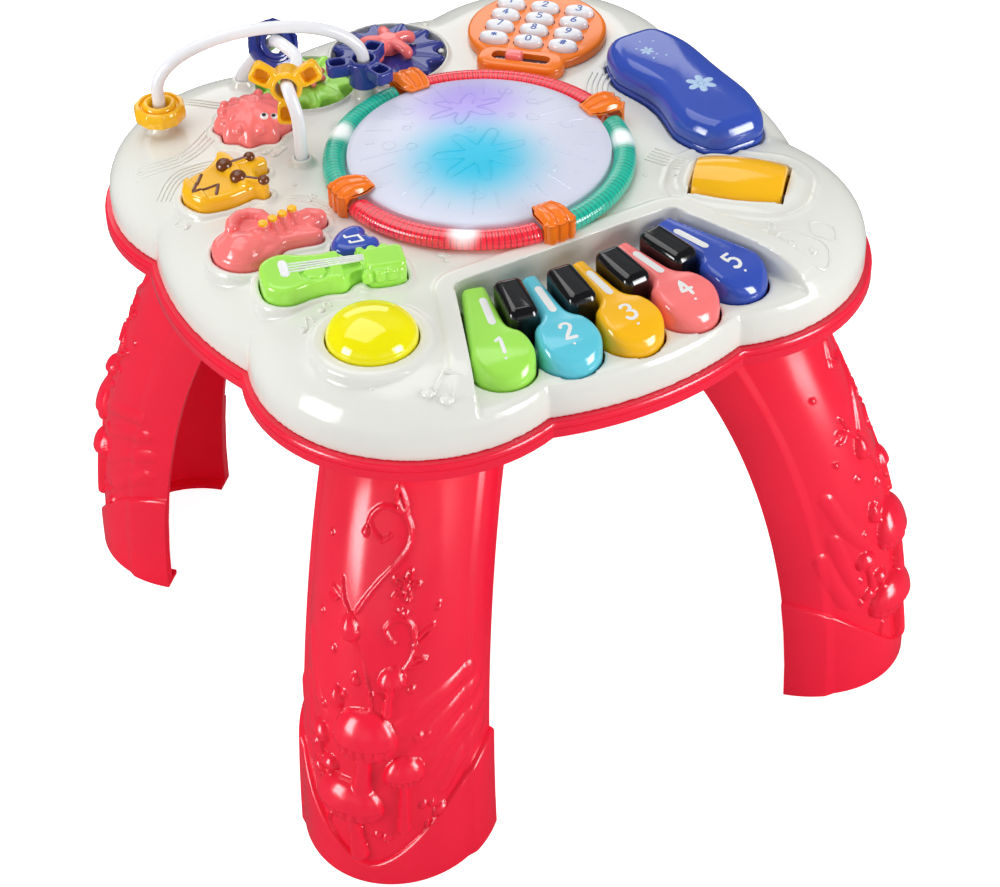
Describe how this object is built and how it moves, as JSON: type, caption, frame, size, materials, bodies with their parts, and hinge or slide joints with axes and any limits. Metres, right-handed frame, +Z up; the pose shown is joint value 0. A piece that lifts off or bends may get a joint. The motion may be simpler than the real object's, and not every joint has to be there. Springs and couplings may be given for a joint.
{
  "type": "musical activity table",
  "caption": "Lobed play table on arched legs with a keyboard, lit drum, phone with handset and number pad, shaped press buttons, roller, meshing gears and bead wires.",
  "frame": {"origin": "on the floor under the middle of the drum, which is the middle of the four feet", "axes": "+Z up, +X to the right and -Y towards the player at the keyboard side; the phone is at the right and the bead wires are at the back left"},
  "size_m": [0.3382, 0.3382, 0.3207],
  "materials": {
    "ivory_plastic": "ivory moulded ABS",
    "red_plastic": "coral-red moulded plastic",
    "white_plastic": "white moulded plastic",
    "black_plastic": "black moulded plastic",
    "lime_plastic": "lime moulded plastic",
    "cyan_plastic": "cyan moulded plastic",
    "amber_plastic": "amber moulded plastic",
    "yellow_plastic": "yellow moulded plastic",
    "pink_plastic": "coral-pink moulded plastic",
    "blue_plastic": "deep blue moulded plastic",
    "orange_plastic": "orange moulded plastic",
    "teal_translucent": "teal translucent plastic",
    "red_translucent": "red translucent plastic",
    "milky_translucent": "milky translucent plastic",
    "steel": "plain steel",
    "cell_jacket": "plain steel can with a coloured jacket",
    "board_laminate": "green circuit board laminate"
  },
  "bodies": {
    "table": {"battery_1": "cell_jacket", "battery_2": "cell_jacket", "battery_3": "cell_jacket", "black_keys": "black_plastic", "bottom_tray": "red_plastic", "drum_clip_ring": "orange_plastic", "keypad_cover": "orange_plastic", "leg_back_left": "red_plastic", "leg_back_right": "red_plastic", "leg_front_left": "red_plastic", "leg_front_right": "red_plastic", "long_wire": "white_plastic", "main_board": "board_laminate", "roller_axle": "steel", "short_wire": "white_plastic", "speaker": "steel", "top_shell": "ivory_plastic", "tube_back_left": "teal_translucent", "tube_back_right": "red_translucent", "tube_front_left": "red_translucent", "tube_front_right": "teal_translucent"},
    "drum_pad": {"drum_pad": "milky_translucent"},
    "key_lime": {"key_lime": "lime_plastic"},
    "key_cyan": {"key_cyan": "cyan_plastic"},
    "key_amber": {"key_amber": "amber_plastic"},
    "key_coral": {"key_coral": "pink_plastic"},
    "key_blue": {"key_blue": "blue_plastic"},
    "mode_button": {"mode_button": "blue_plastic"},
    "guitar_button": {"guitar_button": "lime_plastic"},
    "trumpet_button": {"trumpet_button": "pink_plastic"},
    "drum_button": {"drum_button": "amber_plastic"},
    "turtle_button": {"turtle_button": "pink_plastic"},
    "dome_button": {"dome_button": "yellow_plastic"},
    "number_key_01": {"number_key_01": "white_plastic"},
    "number_key_02": {"number_key_02": "white_plastic"},
    "number_key_03": {"number_key_03": "white_plastic"},
    "number_key_04": {"number_key_04": "white_plastic"},
    "number_key_05": {"number_key_05": "white_plastic"},
    "number_key_06": {"number_key_06": "white_plastic"},
    "number_key_07": {"number_key_07": "white_plastic"},
    "number_key_08": {"number_key_08": "white_plastic"},
    "number_key_09": {"number_key_09": "white_plastic"},
    "number_key_10": {"number_key_10": "white_plastic"},
    "number_key_11": {"number_key_11": "white_plastic"},
    "number_key_12": {"number_key_12": "white_plastic"},
    "roller": {"roller": "amber_plastic"},
    "handset": {"handset_lower": "blue_plastic", "handset_upper": "blue_plastic"},
    "power_slider": {"power_slider": "pink_plastic"},
    "blue_gear": {"blue_gear": "blue_plastic", "flower_cap": "pink_plastic"},
    "lime_gear": {"lime_gear": "lime_plastic", "crown_cap": "pink_plastic"},
    "yellow_ring_bead": {"yellow_ring_bead": "amber_plastic"},
    "blue_propeller_bead": {"blue_propeller_bead": "blue_plastic"},
    "yellow_propeller_bead": {"yellow_propeller_bead": "amber_plastic"},
    "blue_ring_bead": {"blue_ring_bead": "blue_plastic"},
    "battery_door": {"battery_door": "red_plastic", "battery_door_screw": "steel"}
  },
  "joints": [
    {"name": "drum_press", "type": "slide", "parent": "table", "child": "drum_pad", "axis": [0, 0, -1], "range_m": [0, 0.0015], "stiffness_N_per_m": 500, "springref_m": -0.0015},
    {"name": "key_lime_press", "type": "hinge", "parent": "table", "child": "key_lime", "pos_m": [-0.04546, -0.07273, 0.2503], "axis": [0.9627, -0.2706, 0], "range_deg": [0, 3], "stiffness_Nm_per_rad": 0.5, "springref_deg": -2.86},
    {"name": "key_cyan_press", "type": "hinge", "parent": "table", "child": "key_cyan", "pos_m": [-0.02295, -0.07743, 0.2503], "axis": [0.9906, -0.1366, 0], "range_deg": [0, 3], "stiffness_Nm_per_rad": 0.5, "springref_deg": -2.86},
    {"name": "key_amber_press", "type": "hinge", "parent": "table", "child": "key_amber", "pos_m": [0, -0.079, 0.2503], "axis": [1, 0, 0], "range_deg": [0, 3], "stiffness_Nm_per_rad": 0.5, "springref_deg": -2.86},
    {"name": "key_coral_press", "type": "hinge", "parent": "table", "child": "key_coral", "pos_m": [0.02295, -0.07743, 0.2503], "axis": [0.9906, 0.1366, 0], "range_deg": [0, 3], "stiffness_Nm_per_rad": 0.5, "springref_deg": -2.86},
    {"name": "key_blue_press", "type": "hinge", "parent": "table", "child": "key_blue", "pos_m": [0.04546, -0.07273, 0.2503], "axis": [0.9627, 0.2706, 0], "range_deg": [0, 3], "stiffness_Nm_per_rad": 0.5, "springref_deg": -2.86},
    {"name": "mode_button_press", "type": "slide", "parent": "table", "child": "mode_button", "axis": [0, 0, -1], "range_m": [0, 0.002], "stiffness_N_per_m": 400, "springref_m": -0.0015},
    {"name": "guitar_button_press", "type": "slide", "parent": "table", "child": "guitar_button", "axis": [0, 0, -1], "range_m": [0, 0.002], "stiffness_N_per_m": 400, "springref_m": -0.0015},
    {"name": "trumpet_button_press", "type": "slide", "parent": "table", "child": "trumpet_button", "axis": [0, 0, -1], "range_m": [0, 0.002], "stiffness_N_per_m": 400, "springref_m": -0.0015},
    {"name": "drum_button_press", "type": "slide", "parent": "table", "child": "drum_button", "axis": [0, 0, -1], "range_m": [0, 0.002], "stiffness_N_per_m": 400, "springref_m": -0.0015},
    {"name": "turtle_button_press", "type": "slide", "parent": "table", "child": "turtle_button", "axis": [0, 0, -1], "range_m": [0, 0.002], "stiffness_N_per_m": 400, "springref_m": -0.0015},
    {"name": "dome_button_press", "type": "slide", "parent": "table", "child": "dome_button", "axis": [0, 0, -1], "range_m": [0, 0.002], "stiffness_N_per_m": 400, "springref_m": -0.0015},
    {"name": "number_key_01_press", "type": "slide", "parent": "table", "child": "number_key_01", "axis": [0, 0, -1], "range_m": [0, 0.0015], "stiffness_N_per_m": 200, "springref_m": -0.001},
    {"name": "number_key_02_press", "type": "slide", "parent": "table", "child": "number_key_02", "axis": [0, 0, -1], "range_m": [0, 0.0015], "stiffness_N_per_m": 200, "springref_m": -0.001},
    {"name": "number_key_03_press", "type": "slide", "parent": "table", "child": "number_key_03", "axis": [0, 0, -1], "range_m": [0, 0.0015], "stiffness_N_per_m": 200, "springref_m": -0.001},
    {"name": "number_key_04_press", "type": "slide", "parent": "table", "child": "number_key_04", "axis": [0, 0, -1], "range_m": [0, 0.0015], "stiffness_N_per_m": 200, "springref_m": -0.001},
    {"name": "number_key_05_press", "type": "slide", "parent": "table", "child": "number_key_05", "axis": [0, 0, -1], "range_m": [0, 0.0015], "stiffness_N_per_m": 200, "springref_m": -0.001},
    {"name": "number_key_06_press", "type": "slide", "parent": "table", "child": "number_key_06", "axis": [0, 0, -1], "range_m": [0, 0.0015], "stiffness_N_per_m": 200, "springref_m": -0.001},
    {"name": "number_key_07_press", "type": "slide", "parent": "table", "child": "number_key_07", "axis": [0, 0, -1], "range_m": [0, 0.0015], "stiffness_N_per_m": 200, "springref_m": -0.001},
    {"name": "number_key_08_press", "type": "slide", "parent": "table", "child": "number_key_08", "axis": [0, 0, -1], "range_m": [0, 0.0015], "stiffness_N_per_m": 200, "springref_m": -0.001},
    {"name": "number_key_09_press", "type": "slide", "parent": "table", "child": "number_key_09", "axis": [0, 0, -1], "range_m": [0, 0.0015], "stiffness_N_per_m": 200, "springref_m": -0.001},
    {"name": "number_key_10_press", "type": "slide", "parent": "table", "child": "number_key_10", "axis": [0, 0, -1], "range_m": [0, 0.0015], "stiffness_N_per_m": 200, "springref_m": -0.001},
    {"name": "number_key_11_press", "type": "slide", "parent": "table", "child": "number_key_11", "axis": [0, 0, -1], "range_m": [0, 0.0015], "stiffness_N_per_m": 200, "springref_m": -0.001},
    {"name": "number_key_12_press", "type": "slide", "parent": "table", "child": "number_key_12", "axis": [0, 0, -1], "range_m": [0, 0.0015], "stiffness_N_per_m": 200, "springref_m": -0.001},
    {"name": "roller_spin", "type": "hinge", "parent": "table", "child": "roller", "pos_m": [0.0965, -0.079, 0.264], "axis": [0.7314, -0.682, 0], "continuous": true},
    {"name": "handset_lift", "type": "slide", "parent": "table", "child": "handset", "axis": [0, 0, 1], "range_m": [0, 0.06]},
    {"name": "power_slide", "type": "slide", "parent": "table", "child": "power_slider", "axis": [0.7071, -0.7071, 0], "range_m": [0, 0.007]},
    {"name": "blue_gear_spin", "type": "hinge", "parent": "table", "child": "blue_gear", "pos_m": [0.00937, 0.11027, 0], "axis": [0, 0, 1], "continuous": true},
    {"name": "lime_gear_spin", "type": "hinge", "parent": "table", "child": "lime_gear", "pos_m": [-0.03897, 0.10773, 0], "axis": [0, 0, 1], "continuous": true},
    {"name": "yellow_ring_slide", "type": "slide", "parent": "table", "child": "yellow_ring_bead", "axis": [0, 0, 1], "range_m": [0, 0.01]},
    {"name": "blue_propeller_spin", "type": "hinge", "parent": "table", "child": "blue_propeller_bead", "pos_m": [-0.0185, 0.0825, 0.2844], "axis": [0, 0, 1], "continuous": true},
    {"name": "yellow_propeller_spin", "type": "hinge", "parent": "table", "child": "yellow_propeller_bead", "pos_m": [-0.071, 0.0585, 0.307], "axis": [-0.4729, -0.8669, 0.1576], "continuous": true},
    {"name": "blue_ring_spin", "type": "hinge", "parent": "table", "child": "blue_ring_bead", "pos_m": [-0.05678, 0.10344, 0.30079], "axis": [-0.0327, 0.7836, -0.6204], "continuous": true},
    {"name": "battery_door_release", "type": "slide", "parent": "table", "child": "battery_door", "axis": [0, 0, -1], "range_m": [0, 0.015]}
  ],
  "couplings": [
    {"joint": "lime_gear_spin", "follows": "blue_gear_spin", "ratio": -1.2}
  ]
}
